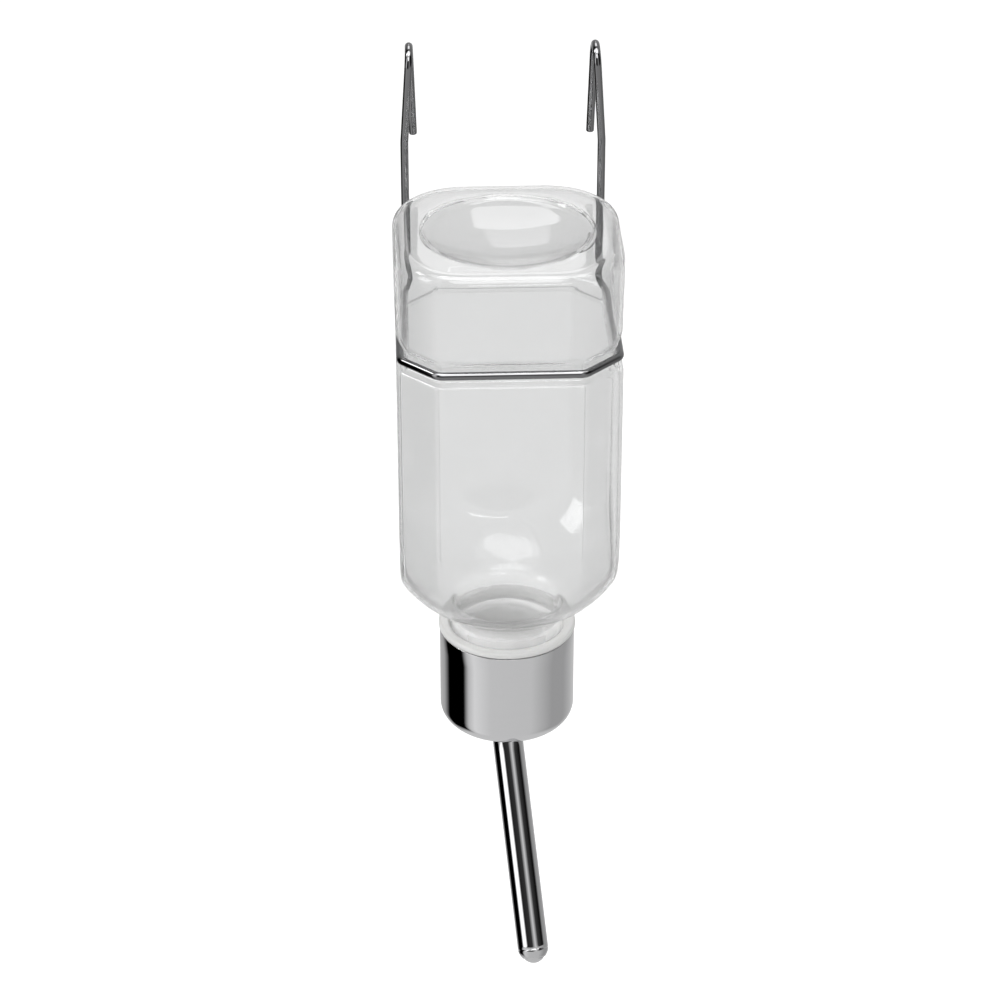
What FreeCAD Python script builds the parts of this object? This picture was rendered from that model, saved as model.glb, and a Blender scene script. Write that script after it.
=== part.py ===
import FreeCAD, Part
import math
import os
import Sketcher

# Small animal water bottle, hung mouth down on the bars of a cage.
# Frame: X to the right, Y away from the animal's side, Z up. The origin lies
# midway between the centres of the two hook bends, where the cage bar sits.
# All lengths are millimetres and all angles degrees.

SIZES = (
    # bottle, heights counted up from its mouth
    ("bottle_width", 55.0, "across two opposite flat sides"),
    ("bottle_corner", 9.5, "leg of the flat that cuts each upright corner"),
    ("bottle_height", 134.0, "mouth to the ring the bottle stands on"),
    ("bottle_wall", 1.0, "wall of the blown body"),
    ("corner_softness", 1.6, "rounding of the body's upright and shoulder edges"),
    ("shoulder_offset", 4.0, "middle line to the centre of the shoulder's curve"),
    ("shoulder_margin", 0.5, "how far outside the upright edges that curve ends"),
    ("neck_length", 28.7, "mouth to the foot of the shoulder"),
    ("collar_radius", 14.6, "plain collar under the shoulder"),
    ("collar_length", 8.3, "height of that collar"),
    ("collar_fillet", 1.2, "rounding where shoulder and collar meet"),
    ("neck_radius", 13.0, "neck at the root of its thread"),
    ("neck_wall", 1.3, "wall of the neck"),
    # groove that the wire lies in, and the rounder part beyond it
    ("groove_centre", 107.7, "mouth to the middle of the groove"),
    ("groove_width", 5.2, "height of the groove at the surface"),
    ("groove_depth", 2.0, "depth below the flat sides"),
    ("groove_lip", 1.3, "rounding of the groove's lower lip"),
    ("bulge_step", 0.4, "how far the rounder part by the base stands out"),
    ("bulge_corner_radius", 18.0, "its upright corners"),
    ("bulge_foot_radius", 1.8, "its edge next to the groove"),
    ("bulge_edge_radius", 3.6, "its edge next to the standing ring"),
    ("recess_radius", 20.3, "round recess in the base"),
    ("recess_step", 1.2, "upright rim of the recess"),
    ("recess_bevel", 0.8, "slope of that rim"),
    ("recess_depth", 5.0, "standing ring to the middle of the dished base"),
    # screw thread, one start, right handed
    ("thread_pitch", 3.0, "lead of one turn"),
    ("thread_depth", 1.0, "height of the ridge"),
    ("thread_crest", 0.8, "width of the ridge's top"),
    ("thread_root", 1.5, "width of the ridge's foot"),
    ("thread_gap", 0.2, "radial gap between crest and facing wall"),
    ("thread_sink", 0.2, "how deep the ridge's foot lies in its wall"),
    ("neck_thread_start", 12.0, "mouth to the lowest ridge"),
    ("neck_thread_turns", 2.5, "turns on the neck"),
    ("liner_thread_turns", 1.5, "turns in the cap's liner"),
    # cap: drawn metal shell over a moulded threaded liner
    ("shell_radius", 17.4, "outside of the metal shell"),
    ("shell_height", 27.2, "shell from end to rim"),
    ("shell_wall", 0.5, "sheet of the shell"),
    ("shell_edge_radius", 4.5, "rounding of the shell's closed end"),
    ("liner_gap", 0.05, "gap between liner and shell"),
    ("liner_floor", 3.05, "closed end of the liner"),
    ("liner_flange_step", 0.3, "how far the liner's rim stands out beyond the shell"),
    ("liner_flange_height", 1.9, "height of that rim"),
    ("liner_flange_round", 0.75, "rounding of that rim"),
    ("collar_gap", 0.4, "gap between liner and collar"),
    ("collar_room", 0.6, "free height under the collar"),
    ("seal_thickness", 2.2, "rubber washer"),
    ("seal_side_gap", 0.35, "gap between washer and liner"),
    # drinking tube and ball
    ("tube_radius", 4.0, "outside of the tube"),
    ("tube_wall", 0.5, "wall of the tube"),
    ("tube_gap", 0.05, "gap between tube and cap"),
    ("tube_flange_radius", 6.0, "flared end that the washer presses down"),
    ("tube_flange_height", 0.8, "height of that flare"),
    ("tube_lead", 1.0, "straight tube between cap and bend"),
    ("tube_bend_radius", 16.0, "bend along the middle of the tube"),
    ("tube_bend", 35.0, "angle of the bend"),
    ("tube_swing", 9.8, "turn of the bend from straight ahead"),
    ("tube_tail", 52.5, "straight tube after the bend"),
    ("ball_radius", 3.175, "steel ball"),
    ("ball_gap", 0.05, "gap between ball and seat"),
    ("ball_lip_radius", 2.75, "opening that the ball closes"),
    ("nose_lead", 0.5, "start of the rolled end to the ball's middle"),
    # wire hanger
    ("wire_radius", 1.0, "round wire"),
    ("wire_gap", 0.05, "gap between wire and groove"),
    ("wire_bend", 3.0, "usual bend, along the middle of the wire"),
    ("wire_soft_bend", 16.0, "slight bend in each upright"),
    ("upright_side_inset", 3.5, "side of the rounder part in to each upright"),
    ("upright_back_inset", 1.9, "back of the rounder part in to the uprights"),
    ("upright_straight", 38.0, "groove to the slight bend"),
    ("hook_lean", 1.5, "how far each upright leans in to its hook"),
    ("hook_rise", 56.6, "middle of the groove to the centre of the hook bend"),
    ("hook_radius", 4.5, "hook bend, along the middle of the wire"),
    ("hook_drop", 20.3, "centre of the hook bend to the tip"),
    ("hook_toe_in", 0.8, "how far each tip leans inwards"),
)

doc = FreeCAD.newDocument("water_bottle")
sheet = doc.addObject("Spreadsheet::Sheet", "sizes")
for row, (name, number, meaning) in enumerate(SIZES, start=1):
    sheet.set(f"A{row}", name)
    sheet.set(f"B{row}", str(number))
    sheet.set(f"C{row}", meaning)
    sheet.setAlias(f"B{row}", name)
doc.recompute()

FULL_TURN = 360.0
SPARE = 1.0  # how far a cut or a joining block runs past the face it meets

# Places as expressions of the sheet, shared by the pieces that meet there: the
# bottle's upright middle line behind or before the hooks, and heights along it.
BULGE_HALF = "(sizes.bottle_width / 2 + sizes.bulge_step)"
AXIS_Y = f"-({BULGE_HALF} - sizes.upright_back_inset + sizes.hook_radius)"
MOUTH = "-(sizes.hook_rise + sizes.groove_centre)"
LINER_BASE = f"{MOUTH} - sizes.seal_thickness - sizes.liner_floor"
SHELL_BASE = f"{LINER_BASE} - sizes.liner_gap - sizes.shell_wall"
LINER_BORE = "(sizes.neck_radius + sizes.thread_depth + sizes.thread_gap)"
EDGE_REACH = "sqrt((sizes.bottle_width / 2) ^ 2"
EDGE_REACH += " + (sizes.bottle_width / 2 - sizes.bottle_corner) ^ 2)"
SHOULDER_RADIUS = f"({EDGE_REACH} + sizes.shoulder_margin - sizes.shoulder_offset)"
SHOULDER_CENTRE = f"(sizes.neck_length + sqrt({SHOULDER_RADIUS} ^ 2"
SHOULDER_CENTRE += " - (sizes.collar_radius - sizes.shoulder_offset) ^ 2))"


def value(expression):
    """Number that an expression of the sheet has now."""
    result = sheet.evalExpression(expression)
    return float(getattr(result, "Value", result))


def stand_at(piece, height):
    """Put a piece on the bottle's middle line at a height."""
    piece.setExpression("Placement.Base.y", AXIS_Y)
    piece.setExpression("Placement.Base.z", height)


def plane_sketch(body, label, role, offset=None):
    """Sketch on one of the body's own base planes, moved along its normal by offset."""
    sketch = body.newObject("Sketcher::SketchObject", label)
    plane = next(item for item in body.Origin.OriginFeatures if item.Role == role)
    sketch.AttachmentSupport = [(plane, "")]
    sketch.MapMode = "FlatFace"
    if offset:
        sketch.setExpression("AttachmentOffset.Base.z", offset)
    return sketch


def pin_point(sketch, geometry, end, x, y):
    """Hold one point of the sketch at the expressions x and y."""
    for kind, expression, align in (("DistanceX", x, "Vertical"), ("DistanceY", y, "Horizontal")):
        number = value(expression)
        if expression == "0":
            sketch.addConstraint(Sketcher.Constraint(align, -1, 1, geometry, end))
            continue
        index = sketch.addConstraint(Sketcher.Constraint(kind, -1, 1, geometry, end, number))
        sketch.setExpression(f"Constraints[{index}]", expression)


def outline(sketch, corners):
    """Closed outline through the corners, each (x, y) or (x, y, radius, side).

    With a radius, the stretch to the next corner is an arc: side 1 has its centre on
    the left of the way there and side -1 on the right.
    """
    points = [FreeCAD.Vector(value(c[0]), value(c[1]), 0) for c in corners]
    starts = []
    ends = []
    for index, corner in enumerate(corners):
        here = points[index]
        there = points[(index + 1) % len(points)]
        if len(corner) == 2:
            sketch.addGeometry(Part.LineSegment(here, there))
            starts.append(1)
            ends.append(2)
            continue
        radius = value(corner[2])
        side = corner[3]
        chord = there - here
        across = FreeCAD.Vector(-chord.y, chord.x, 0).normalize() * side
        centre = (here + there) * 0.5
        centre += across * math.sqrt(max(radius ** 2 - (chord.Length / 2) ** 2, 0))
        first, last = (here, there) if side > 0 else (there, here)
        begin = math.atan2(first.y - centre.y, first.x - centre.x)
        finish = math.atan2(last.y - centre.y, last.x - centre.x)
        circle = Part.Circle(centre, FreeCAD.Vector(0, 0, 1), radius)
        sketch.addGeometry(Part.ArcOfCircle(circle, begin, finish))
        starts.append(1 if side > 0 else 2)
        ends.append(2 if side > 0 else 1)
    for index, corner in enumerate(corners):
        previous = index - 1 if index else len(corners) - 1
        sketch.addConstraint(
            Sketcher.Constraint("Coincident", previous, ends[previous], index, starts[index])
        )
        pin_point(sketch, index, starts[index], corner[0], corner[1])
        if len(corner) > 2:
            radius = value(corner[2])
            bound = sketch.addConstraint(Sketcher.Constraint("Radius", index, radius))
            sketch.setExpression(f"Constraints[{bound}]", corner[2])


def ring_outline(sketch, *radii):
    """Circles about the middle of the sketch."""
    for index, radius in enumerate(radii):
        circle = Part.Circle(FreeCAD.Vector(0, 0, 0), FreeCAD.Vector(0, 0, 1), value(radius))
        sketch.addGeometry(circle)
        sketch.addConstraint(Sketcher.Constraint("Coincident", index, 3, -1, 1))
        bound = sketch.addConstraint(Sketcher.Constraint("Radius", index, value(radius)))
        sketch.setExpression(f"Constraints[{bound}]", radius)


def pad(body, sketch, label, length):
    """Straight block from the sketch, along its normal."""
    feature = body.newObject("PartDesign::Pad", label)
    feature.Profile = sketch
    feature.setExpression("Length", length)
    doc.recompute()
    return feature


def turned(body, sketch, label, kind="PartDesign::Revolution"):
    """Shape turned once about the upright axis of the sketch."""
    feature = body.newObject(kind, label)
    feature.Profile = sketch
    feature.ReferenceAxis = (sketch, ["V_Axis"])
    feature.Angle = FULL_TURN
    doc.recompute()
    return feature


def ridge(body, sketch, label, turns):
    """Helical ridge that the sketch sweeps about the body's axis."""
    feature = body.newObject("PartDesign::AdditiveHelix", label)
    feature.Profile = sketch
    feature.ReferenceAxis = (sketch, ["V_Axis"])
    feature.Mode = "pitch-turns-angle"
    feature.setExpression("Pitch", "sizes.thread_pitch")
    feature.setExpression("Turns", turns)
    doc.recompute()
    return feature


def rounded(body, base, label, radius, keep):
    """Fillet of every edge of base that keep accepts."""
    names = [
        f"Edge{index}"
        for index, edge in enumerate(base.Shape.Edges, start=1)
        if keep(edge)
    ]
    feature = body.newObject("PartDesign::Fillet", label)
    feature.Base = (base, names)
    feature.setExpression("Radius", radius)
    doc.recompute()
    return feature


def level(edge):
    """Height of an edge that lies flat, or None."""
    box = edge.BoundBox
    return box.ZMax if box.ZLength < 1e-4 else None


def new_body(label):
    body = doc.addObject("PartDesign::Body", label)
    body.Label = label
    return body


def octagon_corners(half, cut):
    """Square of half width half with its corners cut by the leg cut."""
    flat = f"{half} - {cut}"
    quarter = ((half, flat), (flat, half))
    corners = []
    for flip_x, flip_y, order in ((1, -1, -1), (1, 1, 1), (-1, 1, -1), (-1, -1, 1)):
        for x, y in quarter[::order]:
            corners.append((
                f"({x})" if flip_x > 0 else f"-({x})",
                f"({y})" if flip_y > 0 else f"-({y})",
            ))
    return corners


def round_square_corners(half, radius):
    """Square of half width half with round corners."""
    flat = f"({half} - {radius})"
    return [
        (half, f"-{flat}"),
        (half, flat, radius, 1),
        (flat, half),
        (f"-{flat}", half, radius, 1),
        (f"-({half})", flat),
        (f"-({half})", f"-{flat}", radius, 1),
        (f"-{flat}", f"-({half})"),
        (flat, f"-({half})", radius, 1),
    ]


def bottle_form(label, inset, neck, collar, foot):
    """Outer form of the bottle, or with an inset the room inside it.

    neck and collar are the radii below the shoulder, and foot is the height where
    the form starts.
    """
    body = new_body(label)
    cut_share = math.tan(math.radians(22.5))
    half = f"(sizes.bottle_width / 2 - {inset})"
    cut = f"(sizes.bottle_corner - {inset} * {1 - cut_share})"
    groove_half = f"({half} - sizes.groove_depth)"
    groove_cut = f"({cut} - sizes.groove_depth * {1 - cut_share})"
    bulge_half = f"({BULGE_HALF} - {inset})"
    bulge_corner = f"(sizes.bulge_corner_radius - {inset})"
    groove_low = f"(sizes.groove_centre - sizes.groove_width / 2 - {inset})"
    groove_high = f"(sizes.groove_centre + sizes.groove_width / 2 + {inset})"
    top = f"(sizes.bottle_height - {inset})"

    section = plane_sketch(body, f"{label}_section", "XY_Plane", foot)
    outline(section, octagon_corners(half, cut))
    sides = pad(body, section, f"{label}_sides", f"{groove_low} - ({foot})")

    # everything outside the domed shoulder and the neck is turned away
    reach = "sizes.bottle_width"
    dome = f"({SHOULDER_RADIUS} - {inset})"
    dome_foot = f"({SHOULDER_CENTRE} - sqrt({dome} ^ 2 - ({collar} - sizes.shoulder_offset) ^ 2))"
    collar_foot = "(sizes.neck_length - sizes.collar_length)"
    corners = [
        (neck, f"{foot} - {SPARE}"),
        (reach, f"{foot} - {SPARE}"),
        (reach, SHOULDER_CENTRE),
        (f"(sizes.shoulder_offset + {dome})", SHOULDER_CENTRE, dome, -1),
        (collar, dome_foot),
    ]
    if collar != neck:
        corners += [(collar, collar_foot), (neck, collar_foot)]
    waste = plane_sketch(body, f"{label}_shoulder_line", "XZ_Plane")
    outline(waste, corners)
    shoulder = turned(body, waste, f"{label}_shoulder", "PartDesign::Groove")

    lowest = value(dome_foot)
    ceiling = value(groove_low)
    softened = rounded(
        body, shoulder, f"{label}_soft_edges", f"sizes.corner_softness - {inset} / 2",
        lambda edge: edge.BoundBox.ZMax > lowest + SPARE and edge.BoundBox.ZLength > 0.5,
    )
    foot_edge = rounded(
        body, softened, f"{label}_collar_fillet", f"sizes.collar_fillet + {inset} / 2",
        lambda edge: level(edge) is not None and abs(level(edge) - lowest) < 0.01
        and edge.BoundBox.XLength < 2 * value(collar) + 0.01,
    )
    lip = rounded(
        body, foot_edge, f"{label}_groove_lip", f"sizes.groove_lip - {inset} / 2",
        lambda edge: level(edge) is not None and abs(level(edge) - ceiling) < 0.01,
    )

    section = plane_sketch(body, f"{label}_groove_section", "XY_Plane", f"{groove_low} - {SPARE}")
    outline(section, octagon_corners(groove_half, groove_cut))
    floor = pad(body, section, f"{label}_groove", f"{groove_high} - {groove_low} + 2 * {SPARE}")
    reach_in = value(groove_half) + 0.01
    rounded(
        body, floor, f"{label}_groove_corners",
        f"sizes.wire_bend - sizes.wire_radius - {inset}",
        lambda edge: edge.BoundBox.ZMin > ceiling - SPARE - 0.01
        and max(edge.BoundBox.XLength, edge.BoundBox.YLength) < 1e-4
        and max(abs(edge.BoundBox.XMax), abs(edge.BoundBox.YMax)) < reach_in,
    )

    section = plane_sketch(body, f"{label}_bulge_section", "XY_Plane", groove_high)
    outline(section, round_square_corners(bulge_half, bulge_corner))
    bulge = pad(body, section, f"{label}_bulge", f"{top} - {groove_high}")
    low = value(groove_high)
    high = value(top)
    outside = value(bulge_half) - value(bulge_corner)
    foot_round = rounded(
        body, bulge, f"{label}_bulge_foot", f"sizes.bulge_foot_radius - {inset} / 2",
        lambda edge: level(edge) is not None and abs(level(edge) - low) < 0.01
        and max(abs(edge.BoundBox.XMax), abs(edge.BoundBox.XMin),
                abs(edge.BoundBox.YMax), abs(edge.BoundBox.YMin)) > value(groove_half) + 0.5
        and edge.Length > 2 * outside - 1,
    )
    rounded(
        body, foot_round, f"{label}_bulge_edge", f"sizes.bulge_edge_radius - {inset}",
        lambda edge: level(edge) is not None and abs(level(edge) - high) < 0.01,
    )

    # the dished base
    rim_radius = f"(sizes.recess_radius + {inset})"
    dish_radius = f"({rim_radius} - sizes.recess_bevel)"
    dish_edge = f"({top} - sizes.recess_step)"
    sag = "(sizes.recess_depth - sizes.recess_step)"
    bowl = f"(({dish_radius} ^ 2 + {sag} ^ 2) / (2 * {sag}))"
    dish = plane_sketch(body, f"{label}_dish_line", "XZ_Plane")
    outline(dish, [
        ("0", f"{top} - sizes.recess_depth", bowl, 1),
        (dish_radius, dish_edge),
        (rim_radius, top),
        (rim_radius, f"{top} + {SPARE}"),
        ("0", f"{top} + {SPARE}"),
    ])
    turned(body, dish, f"{label}_dish", "PartDesign::Groove")
    return body


def ridge_outline(sketch, foot_radius, crest_radius, middle):
    """Section of a thread ridge from its foot to its crest."""
    outline(sketch, [
        (foot_radius, f"{middle} - sizes.thread_root / 2"),
        (crest_radius, f"{middle} - sizes.thread_crest / 2"),
        (crest_radius, f"{middle} + sizes.thread_crest / 2"),
        (foot_radius, f"{middle} + sizes.thread_root / 2"),
    ])


def make_bottle():
    """Thin blown bottle: outer form with the neck thread, less the room inside."""
    outer = bottle_form(
        "bottle_outside", "0", "sizes.neck_radius", "sizes.collar_radius", "0"
    )
    ridge_line = plane_sketch(outer, "neck_thread_line", "XZ_Plane")
    ridge_outline(
        ridge_line, "sizes.neck_radius - sizes.thread_sink",
        "sizes.neck_radius + sizes.thread_depth", "sizes.neck_thread_start",
    )
    ridge(outer, ridge_line, "neck_thread", "sizes.neck_thread_turns")
    bore = "(sizes.neck_radius - sizes.neck_wall)"
    room = bottle_form("bottle_inside", "sizes.bottle_wall", bore, bore, "-1")
    bottle = doc.addObject("Part::Cut", "bottle")
    bottle.Base = outer
    bottle.Tool = room
    bottle.Label = "bottle"
    stand_at(bottle, MOUTH)
    doc.recompute()
    return bottle


def make_shell():
    """Deep-drawn metal cup over the liner."""
    body = new_body("cap_shell")
    hole = "(sizes.tube_radius + sizes.tube_gap)"
    side = "sizes.shell_radius"
    inner = "(sizes.shell_radius - sizes.shell_wall)"
    edge = "sizes.shell_edge_radius"
    line = plane_sketch(body, "shell_line", "XZ_Plane")
    outline(line, [
        (hole, "0"),
        (f"{side} - {edge}", "0", edge, 1),
        (side, edge),
        (side, "sizes.shell_height"),
        (inner, "sizes.shell_height"),
        (inner, edge, f"({edge} - sizes.shell_wall)", -1),
        (f"{side} - {edge}", "sizes.shell_wall"),
        (hole, "sizes.shell_wall"),
    ])
    turned(body, line, "shell_cup")
    stand_at(body, SHELL_BASE)
    return body


def make_liner():
    """Moulded threaded cup with the rim that covers the shell's edge."""
    body = new_body("cap_liner")
    hole = "(sizes.tube_radius + sizes.tube_gap)"
    side = "(sizes.shell_radius - sizes.shell_wall - sizes.liner_gap)"
    edge = "(sizes.shell_edge_radius - sizes.shell_wall - sizes.liner_gap)"
    rim = "(sizes.shell_height - sizes.shell_wall - sizes.liner_gap)"
    top = f"({rim} + sizes.liner_flange_height)"
    flange = "(sizes.shell_radius + sizes.liner_flange_step)"
    soft = "sizes.liner_flange_round"
    mouth = "(sizes.collar_radius + sizes.collar_gap)"
    floor = "sizes.liner_floor"
    seat = f"({floor} + sizes.seal_thickness + sizes.neck_length - sizes.collar_length"
    seat += " - sizes.collar_room)"
    cup = "(sizes.tube_flange_radius + sizes.tube_gap)"
    line = plane_sketch(body, "liner_line", "XZ_Plane")
    outline(line, [
        (hole, "0"),
        (f"{side} - {edge}", "0", edge, 1),
        (side, edge),
        (side, rim),
        (f"{flange} - {soft}", rim, soft, 1),
        (flange, f"{rim} + {soft}"),
        (flange, f"{top} - {soft}", soft, 1),
        (f"{flange} - {soft}", top),
        (f"{mouth} + {soft}", top, soft, 1),
        (mouth, f"{top} - {soft}"),
        (mouth, seat),
        (LINER_BORE, seat),
        (LINER_BORE, floor),
        (cup, floor),
        (cup, f"{floor} - sizes.tube_flange_height - sizes.tube_gap"),
        (hole, f"{floor} - sizes.tube_flange_height - sizes.tube_gap"),
    ])
    turned(body, line, "liner_cup")
    start = f"({floor} + sizes.seal_thickness + sizes.neck_thread_start"
    start += " - sizes.thread_pitch / 2)"
    ridge_line = plane_sketch(body, "liner_thread_line", "XZ_Plane")
    ridge_outline(
        ridge_line, f"{LINER_BORE} + sizes.thread_sink", f"{LINER_BORE} - sizes.thread_depth",
        start,
    )
    ridge(body, ridge_line, "liner_thread", "sizes.liner_thread_turns")
    stand_at(body, LINER_BASE)
    return body


def make_seal():
    """Flat rubber washer between the mouth of the bottle and the cap."""
    body = new_body("seal_washer")
    section = plane_sketch(body, "seal_section", "XY_Plane")
    ring_outline(
        section, f"{LINER_BORE} - sizes.seal_side_gap", "sizes.tube_radius - sizes.tube_wall"
    )
    pad(body, section, "seal_ring", "sizes.seal_thickness")
    stand_at(body, f"{MOUTH} - sizes.seal_thickness")
    return body


# The tube is drawn from its flared end, at the middle of the liner's floor.
TUBE_TOP = f"{MOUTH} - sizes.seal_thickness - sizes.tube_gap"
TUBE_LEAD = (
    "(sizes.liner_floor + sizes.liner_gap + sizes.shell_wall - sizes.tube_gap"
    " + sizes.tube_lead)"
)
ALONG = "(sizes.tube_bend_radius * (1 - cos(sizes.tube_bend * 1 deg))"
ALONG += " + {0} * sin(sizes.tube_bend * 1 deg))"
DOWN = f"({TUBE_LEAD} + sizes.tube_bend_radius * sin(sizes.tube_bend * 1 deg)"
DOWN += " + {0} * cos(sizes.tube_bend * 1 deg))"


def on_tube_axis(piece, distance):
    """Put a piece on the straight tail, distance beyond the bend, facing along it."""
    swing = "(sizes.tube_swing * 1 deg)"
    piece.Placement = FreeCAD.Placement(
        FreeCAD.Vector(0, 0, 0),
        FreeCAD.Rotation(value("sizes.tube_swing"), 0, 180 - value("sizes.tube_bend")),
    )
    piece.setExpression("Placement.Base.x", f"{ALONG.format(distance)} * sin({swing})")
    piece.setExpression(
        "Placement.Base.y", f"{AXIS_Y} - {ALONG.format(distance)} * cos({swing})"
    )
    piece.setExpression("Placement.Base.z", f"{TUBE_TOP} - {DOWN.format(distance)}")


def make_tube():
    """Bent steel tube with a flared top and a rolled nose that holds the ball."""
    inner = "(sizes.tube_radius - sizes.tube_wall)"
    pipe = new_body("tube_pipe")
    path = plane_sketch(pipe, "tube_path", "YZ_Plane")
    bend = value("sizes.tube_bend_radius")
    angle = math.radians(value("sizes.tube_bend"))
    tail = value("sizes.tube_tail")
    lead = value(TUBE_LEAD)
    down = FreeCAD.Vector(0, -lead, 0)
    centre = FreeCAD.Vector(-bend, -lead, 0)
    bend_end = centre + FreeCAD.Vector(bend * math.cos(angle), -bend * math.sin(angle), 0)
    tail_end = bend_end + FreeCAD.Vector(-tail * math.sin(angle), -tail * math.cos(angle), 0)
    path.addGeometry(Part.LineSegment(FreeCAD.Vector(0, 0, 0), down))
    circle = Part.Circle(centre, FreeCAD.Vector(0, 0, 1), bend)
    path.addGeometry(Part.ArcOfCircle(circle, -angle, 0))
    path.addGeometry(Part.LineSegment(bend_end, tail_end))
    path.addConstraint(Sketcher.Constraint("Coincident", 0, 1, -1, 1))
    path.addConstraint(Sketcher.Constraint("Coincident", 0, 2, 1, 2))
    path.addConstraint(Sketcher.Constraint("Coincident", 1, 1, 2, 1))
    pin_point(path, 0, 2, "0", f"-{TUBE_LEAD}")
    pin_point(path, 2, 1, f"-{ALONG.format(0)}", f"-{DOWN.format(0)}")
    pin_point(
        path, 2, 2, f"-{ALONG.format('sizes.tube_tail')}", f"-{DOWN.format('sizes.tube_tail')}"
    )
    bound = path.addConstraint(Sketcher.Constraint("Radius", 1, bend))
    path.setExpression(f"Constraints[{bound}]", "sizes.tube_bend_radius")
    section = plane_sketch(pipe, "tube_section", "XY_Plane")
    ring_outline(section, "sizes.tube_radius", inner)
    sweep = pipe.newObject("PartDesign::AdditivePipe", "tube_sweep")
    sweep.Profile = section
    sweep.Spine = (path, ["Edge1", "Edge2", "Edge3"])
    doc.recompute()
    flare = plane_sketch(
        pipe, "tube_flare_section", "XY_Plane", "-sizes.tube_flange_height"
    )
    ring_outline(flare, "sizes.tube_flange_radius", inner)
    pad(pipe, flare, "tube_flare", "sizes.tube_flange_height")
    pipe.Placement.Rotation = FreeCAD.Rotation(value("sizes.tube_swing"), 0, 0)
    stand_at(pipe, TUBE_TOP)

    # the rolled nose follows the ball, a wall's thickness outside its seat
    nose = new_body("tube_nose")
    seat = "(sizes.ball_radius + sizes.ball_gap)"
    skin = f"({seat} + sizes.tube_wall)"
    end = f"(sizes.nose_lead + sqrt({seat} ^ 2 - sizes.ball_lip_radius ^ 2))"
    brim = f"sqrt({skin} ^ 2 - ({end} - sizes.nose_lead) ^ 2)"
    line = plane_sketch(nose, "nose_line", "XZ_Plane")
    outline(line, [
        (inner, "0"),
        ("sizes.tube_radius", "0"),
        (skin, "sizes.nose_lead", skin, 1),
        (brim, end),
        ("sizes.ball_lip_radius", end, seat, -1),
        (seat, "sizes.nose_lead"),
    ])
    turned(nose, line, "nose_roll")
    on_tube_axis(nose, "sizes.tube_tail")
    tube = doc.addObject("Part::Fuse", "drinking_tube")
    tube.Base = pipe
    tube.Tool = nose
    tube.Label = "drinking_tube"
    doc.recompute()
    return tube


def make_ball():
    """Steel ball that rests on the rolled lip of the tube."""
    ball = doc.addObject("Part::Sphere", "ball")
    ball.Label = "ball"
    ball.setExpression("Radius", "sizes.ball_radius")
    on_tube_axis(ball, "(sizes.tube_tail + sizes.nose_lead)")
    doc.recompute()
    return ball


def bent_line(points, radii):
    """Wire through the points with each inner corner rounded by its radius."""
    edges = []
    start = points[0]
    for before, corner, after, radius in zip(points, points[1:], points[2:], radii):
        back = (before - corner).normalize()
        onward = (after - corner).normalize()
        half_angle = back.getAngle(onward) / 2
        run = radius / math.tan(half_angle)
        first = corner + back * run
        last = corner + onward * run
        middle_way = (back + onward).normalize()
        centre = corner + middle_way * (radius / math.sin(half_angle))
        middle = centre - middle_way * radius
        edges.append(Part.makeLine(start, first))
        edges.append(Part.Arc(first, middle, last).toShape())
        start = last
    edges.append(Part.makeLine(start, points[-1]))
    return Part.Wire(edges)


def make_hanger():
    """Steel wire, one length: in the groove round the front, up behind and over."""
    size = {name: number for name, number, meaning in SIZES}
    offset = size["groove_depth"] - size["wire_radius"] - size["wire_gap"]
    cut_share = math.tan(math.radians(22.5))
    side = size["bottle_width"] / 2 - offset
    flat = size["bottle_width"] / 2 - size["bottle_corner"] - offset * cut_share
    low = -size["hook_rise"]
    hook = size["hook_radius"]
    back = -size["hook_radius"]
    bulge_half = value(BULGE_HALF)
    axis = value(AXIS_Y)
    spread = bulge_half - size["upright_side_inset"]
    hooks = spread - size["hook_lean"]
    tip = hooks - size["hook_toe_in"]
    half = [
        FreeCAD.Vector(flat, axis - side, low),
        FreeCAD.Vector(side, axis - flat, low),
        FreeCAD.Vector(side, axis + flat, low),
        FreeCAD.Vector(spread, back, low),
        FreeCAD.Vector(spread, back, low + size["upright_straight"]),
        FreeCAD.Vector(hooks, back, hook),
        FreeCAD.Vector(hooks, hook, hook),
        FreeCAD.Vector(tip, hook, -size["hook_drop"]),
    ]
    tight = size["wire_bend"]
    near_half_circle = hook * 0.98
    bends = [tight, tight, tight, tight, size["wire_soft_bend"]]
    bends += [near_half_circle, near_half_circle]
    mirrored = [FreeCAD.Vector(-point.x, point.y, point.z) for point in reversed(half)]
    line = bent_line(mirrored + half, bends[::-1] + bends)
    end = half[-1]
    heading = (end - half[-2]).normalize()
    profile = Part.Wire([Part.makeCircle(size["wire_radius"], mirrored[0],
                                         FreeCAD.Vector(-heading.x, heading.y, heading.z))])
    shape = line.makePipeShell([profile], True, False)
    hanger = doc.addObject("Part::Feature", "hanger_wire")
    hanger.Shape = shape
    hanger.Label = "hanger_wire"
    hanger.Placement = FreeCAD.Placement()
    return hanger


PIECES = [
    make_bottle(),
    make_hanger(),
    make_shell(),
    make_liner(),
    make_seal(),
    make_tube(),
    make_ball(),
]
doc.recompute()

for item in doc.Objects:
    if "Invalid" in item.State or "Error" in item.State:
        raise RuntimeError(f"{item.Label} did not rebuild: {item.State}")
os.makedirs("parts", exist_ok=True)
for piece in PIECES:
    if piece.Shape.isNull() or not piece.Shape.isValid():
        raise RuntimeError(f"{piece.Label} has no valid shape")
    piece.Shape.exportStep(f"parts/{piece.Label}.step")
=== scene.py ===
import math

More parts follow.
